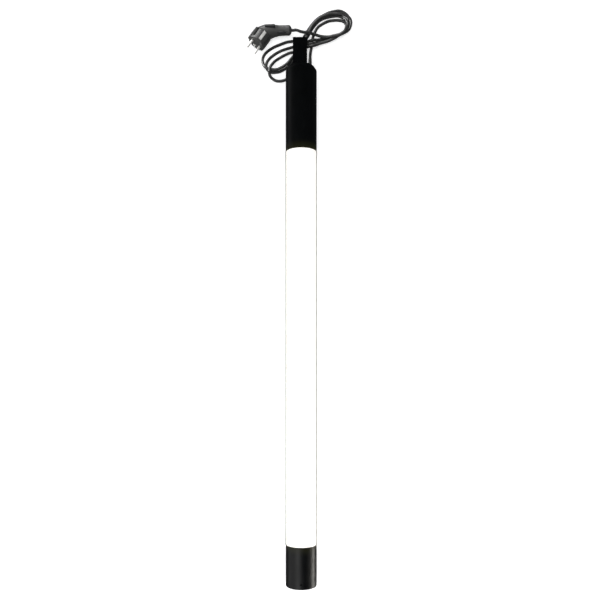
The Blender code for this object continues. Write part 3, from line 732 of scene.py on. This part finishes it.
def add_plug():
    """The plug's head and grip as one moulding, with its darker pads and contacts."""
    outline = rounded([(0, 0), (0, PLUG_R), (PLUG_DEPTH, PLUG_R), (PLUG_DEPTH, 0)],
                      (0, 0.0016, 0.0060, 0), 8)
    head = put(turned("plug_shell", outline, 96), plug_frame())
    combine(head, plug_additions(), "UNION")
    modify(head, "REMESH", mode="VOXEL", voxel_size=0.00055)
    modify(head, "SMOOTH", factor=0.5, iterations=4)
    bake(head, 60)
    combine(head, plug_cutters())
    return [settle_piece(head, "plug_rubber", "plug_body"), *add_plug_contacts(), *add_pads()]


# ---------------------------------------------------------------- strain relief
def add_strain_relief(line):
    """Bush in the cap's flat end with a ringed sleeve that tapers along the lead."""
    reach, spacing, wide, slim, groove = 0.021, 0.0005, 0.0040, 0.0033, 0.00022
    path = even(line[:HELD], spacing)[: int(reach / spacing)]
    x, _, z = path[0]
    # the bush's flanges: how far out of the flat end, and the radius there
    flanges = [(-0.0048, 0.0045), (-0.0031, 0.0045), (-0.0030, 0.0037), (0.0002, 0.0037),
               (0.0003, 0.0045), (0.0014, 0.0045), (0.0018, 0.0042)]
    start = np.array([[x, FLAT_TOP + out, z] for out, _ in flanges])
    radii = [radius for _, radius in flanges]
    for index in range(len(path)):
        in_groove = index % 6 > 2
        radii.append(wide + (slim - wide) * index / len(path) - groove * in_groove)
    relief = sweep("strain_relief", np.concatenate((start, path)), radii, 40)
    return settle_piece(relief, "cord_rubber", "cord_grommet")


# ---------------------------------------------------------------- lamp
def add_tubes():
    """The clear guard, and the lit diffuser inside it."""
    for name, replaced, finish, wall in (
            ("guard_shell", "guard_tube", "clear_guard", 0.0013),
            ("lit_diffuser", "diffuser_tube", "opal_diffuser", 0.0015)):
        low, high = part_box(replaced)
        radius = (high.x - low.x) / 2
        outline = rounded([(low.y, radius), (high.y, radius), (high.y, radius - wall),
                           (low.y, radius - wall)], (0.0004,) * 4, 3)
        settle_piece(put(turned(name, outline), from_axis()), finish, replaced)


def middle_x(name):
    low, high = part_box(name)
    return (low.x + high.x) / 2


def screw_seat(along, side):
    """Cutter for a countersunk hole in a cap's wall."""
    outline = [(side * z, r) for z, r in ((0.0200, 0), (0.0200, 0.0017), (CAP_R - 0.0027, 0.0017),
                                          (CAP_R - 0.0018, 0.0026), (CAP_R + 0.003, 0.0026),
                                          (CAP_R + 0.003, 0))]
    return put(turned("seat", outline, 40, "Z", DRILL_TWIST), from_axis(y=along))


def add_screw(name, side, finish):
    """Countersunk screw with a cross recess. Returns the cutter for its seat."""
    low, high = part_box(name)
    along = (low.y + high.y) / 2
    tip = min(abs(low.z - AXIS), abs(high.z - AXIS))
    top = max(abs(low.z - AXIS), abs(high.z - AXIS))
    outline = [(side * z, r) for z, r in ((tip, 0), (tip, 0.0010), (tip + 0.0006, 0.0014),
                                          (top - 0.0016, 0.0014), (top - 0.0008, 0.0023),
                                          (top - 0.0002, 0.0023), (top, 0.0020), (top, 0))]
    screw = turned(name + "_head", outline, 40, "Z")
    ends = sorted((side * (top - 0.0011), side * (top + 0.001)))
    slots = [block("slot", (-a, -b, ends[0]), (a, b, ends[1]))
             for a, b in ((0.0014, 0.0003), (0.0003, 0.0014))]
    combine(screw, slots)
    put(screw, from_axis(y=along))
    settle_piece(screw, finish, name, slot="steel")
    return screw_seat(along, side)


def add_upper_cap(seat):
    """Long cap with a slanted shoulder, its flat end drilled for the lead and the bolts."""
    edge, inner = CAP_LOW.y, FLAT_TOP - FLAT_WALL
    outline = rounded([(edge, CAP_R), (FLAT_TOP - SHOULDER, CAP_R), (FLAT_TOP, FLAT_TOP_R),
                       (FLAT_TOP, 0), (inner, 0), (inner, 0.0238), (inner - 0.0065, CAP_BORE),
                       (edge, CAP_BORE)],
                      (0.0005, 0.0020, 0.0012, 0, 0, 0.001, 0.002, 0.0004))
    cap = put(turned("upper_cap_shell", outline), from_axis())
    tools = [seat]
    for name, radius in (("sheath_end", LEAD_HOLE_R), *((bolt, BOLT_HOLE_R) for bolt in BOLTS)):
        hole = drill("hole", inner - 0.004, FLAT_TOP + 0.004, radius)
        tools.append(put(hole, from_axis(x=middle_x(name))))
    combine(cap, tools)
    settle_piece(cap, "moulding", "upper_cap")


def add_lower_cap(seats):
    """Short cap with a rounded rim, and the ribbed plate in its end."""
    end, edge = (corner.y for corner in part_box("lower_cap"))
    lip, lip_depth = 0.0270, 0.0025
    outline = rounded([(edge, CAP_R), (end, CAP_R), (end, lip), (end + lip_depth, lip),
                       (end + lip_depth, CAP_BORE), (edge, CAP_BORE)],
                      (0.0005, 0.0026, 0.0008, 0.0004, 0, 0.0004), 8)
    cap = put(turned("lower_cap_shell", outline), from_axis())
    combine(cap, seats)
    settle_piece(cap, "moulding", "lower_cap")
    low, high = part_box("end_disc")
    face, rim, rim_wall = low.y, (high.x - low.x) / 2, 0.0025
    back, sunk = face + 0.0030, face + 0.0006
    outline = rounded([(face, 0), (face, 0.0040), (sunk, 0.0046), (sunk, 0.0200), (face, 0.0206),
                       (face, rim), (high.y, rim), (high.y, rim - rim_wall), (back, rim - rim_wall),
                       (back, 0)],
                      (0, 0, 0, 0, 0, 0.0006, 0.0004, 0.0004, 0.0006, 0))
    settle_piece(put(turned("lower_end_plate", outline), from_axis()), "dark_plastic", "end_disc")


def add_hanger():
    """Stirrup of flat strap, bent at its upper corners and welded shut at the foot."""
    low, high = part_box("hanger")
    bend, sharp = 0.0030, 0.0006
    outer = rounded([(low.y, low.z), (high.y, low.z), (high.y, high.z), (low.y, high.z)],
                    (sharp, bend, bend, sharp), 6)
    inner = rounded([(low.y + STRAP, low.z + STRAP), (high.y - STRAP, low.z + STRAP),
                     (high.y - STRAP, high.z - STRAP), (low.y + STRAP, high.z - STRAP)],
                    (0.0009,) * 4, 6)
    bm = bmesh.new()
    loops = [[bm.verts.new((x, y, z)) for y, z in outline]
             for x in (low.x, high.x) for outline in (outer, inner)]
    outer_near, inner_near, outer_far, inner_far = loops
    for index in range(len(outer)):
        after = (index + 1) % len(outer)
        for a, b in ((outer_near, inner_near), (inner_near, inner_far), (inner_far, outer_far),
                     (outer_far, outer_near)):
            bm.faces.new((a[index], a[after], b[after], b[index]))
    strap = add_mesh("hanger_strap", bm)
    modify(strap, "BEVEL", width=0.0004, segments=3, limit_method="ANGLE", angle_limit=radians(50))
    bake(strap, 40)
    combine(strap, [put(drill("hole", low.y - 0.002, low.y + STRAP + 0.002, BOLT_HOLE_R),
                        from_axis(x=middle_x(bolt))) for bolt in BOLTS])
    settle_piece(strap, "black_steel", "hanger")


def finish_carried_nodes():
    """Every CAD node that still shows gets the procedural material of its slot."""
    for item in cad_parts.values():
        if item.hide_render:
            continue
        for place in item.material_slots:
            found = place.material.name.split(".")[0]
            place.link = "OBJECT"
            place.material = FINISHES[found]


# ---------------------------------------------------------------- assembly
add_camera()
FINISHES = make_finishes()
route = lead_line()
relief = add_strain_relief(route)
hank = add_lead(route, [*add_plug(), relief])
add_tubes()
add_upper_cap(add_screw("upper_cap_screw", -1, "steel"))
add_lower_cap([add_screw("lower_cap_screw", -1, "steel"),
               add_screw("end_disc_screw", 1, "black_steel")])
add_hanger()
finish_carried_nodes()
add_floor()
add_studio(hank)
